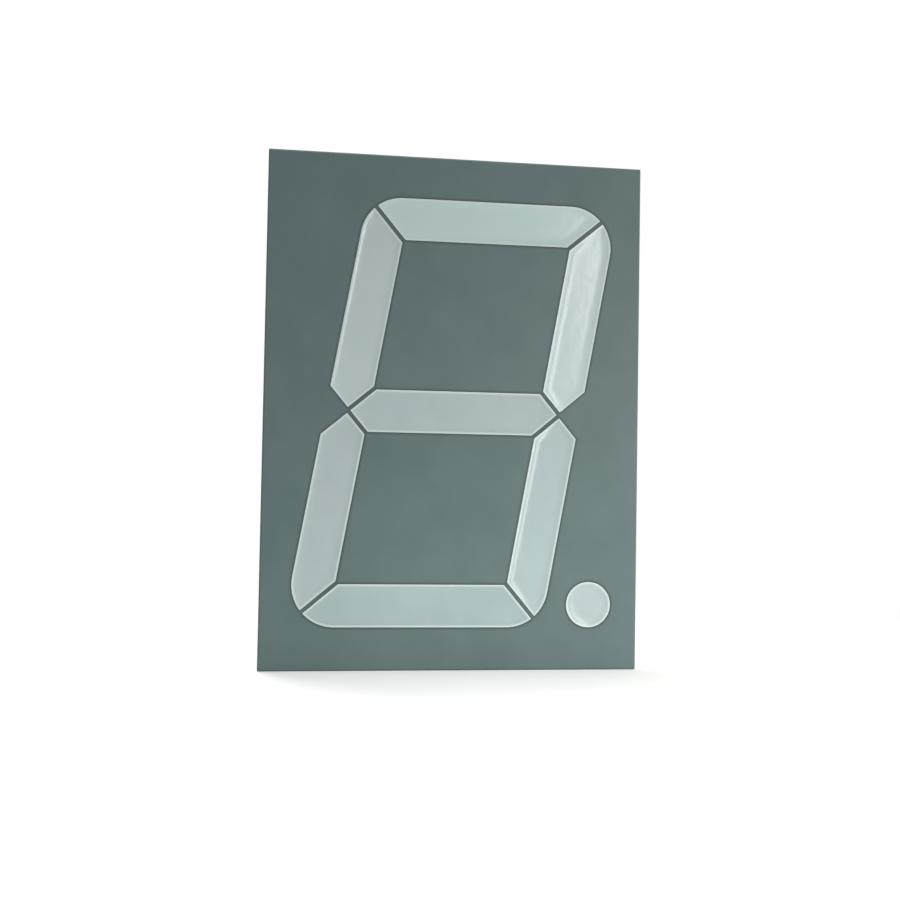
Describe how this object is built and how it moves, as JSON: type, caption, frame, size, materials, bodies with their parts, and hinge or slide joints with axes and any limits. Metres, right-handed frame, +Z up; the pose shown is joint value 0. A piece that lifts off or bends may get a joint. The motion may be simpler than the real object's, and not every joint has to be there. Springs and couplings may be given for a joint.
{
  "type": "seven segment display",
  "caption": "Large upright seven segment digit with slanted segments and a round decimal point in a flat grey face, with rows of solder pins behind.",
  "frame": {"origin": "middle of the pin field, on the seating plane at the back rim", "axes": "+Z up the digit, +Y out of the back along the pins, +X to the right as the face is read, so the face looks along -Y"},
  "size_m": [0.09, 0.022, 0.122],
  "materials": {
    "housing": "matt grey face",
    "diffuser": "cast milky epoxy",
    "board": "satin solder mask",
    "solder": "bright solder",
    "pin": "tinned",
    "lamp": "clear epoxy on a pale carrier"
  },
  "bodies": {
    "root": {"housing": "housing", "circuit_board": "board", "solder_joints": "solder", "decimal_point": "diffuser", "segment_a": "diffuser", "segment_b": "diffuser", "segment_c": "diffuser", "segment_d": "diffuser", "segment_e": "diffuser", "segment_f": "diffuser", "segment_g": "diffuser", "pin_1": "pin", "pin_2": "pin", "pin_3": "pin", "pin_4": "pin", "pin_5": "pin", "pin_6": "pin", "pin_7": "pin", "pin_8": "pin", "pin_9": "pin", "pin_10": "pin", "lamp_a_1": "lamp", "lamp_a_2": "lamp", "lamp_a_3": "lamp", "lamp_a_4": "lamp", "lamp_b_1": "lamp", "lamp_b_2": "lamp", "lamp_b_3": "lamp", "lamp_b_4": "lamp", "lamp_c_1": "lamp", "lamp_c_2": "lamp", "lamp_c_3": "lamp", "lamp_c_4": "lamp", "lamp_d_1": "lamp", "lamp_d_2": "lamp", "lamp_d_3": "lamp", "lamp_d_4": "lamp", "lamp_e_1": "lamp", "lamp_e_2": "lamp", "lamp_e_3": "lamp", "lamp_e_4": "lamp", "lamp_f_1": "lamp", "lamp_f_2": "lamp", "lamp_f_3": "lamp", "lamp_f_4": "lamp", "lamp_g_1": "lamp", "lamp_g_2": "lamp", "lamp_g_3": "lamp", "lamp_g_4": "lamp", "lamp_dot_1": "lamp", "lamp_dot_2": "lamp"}
  },
  "joints": []
}
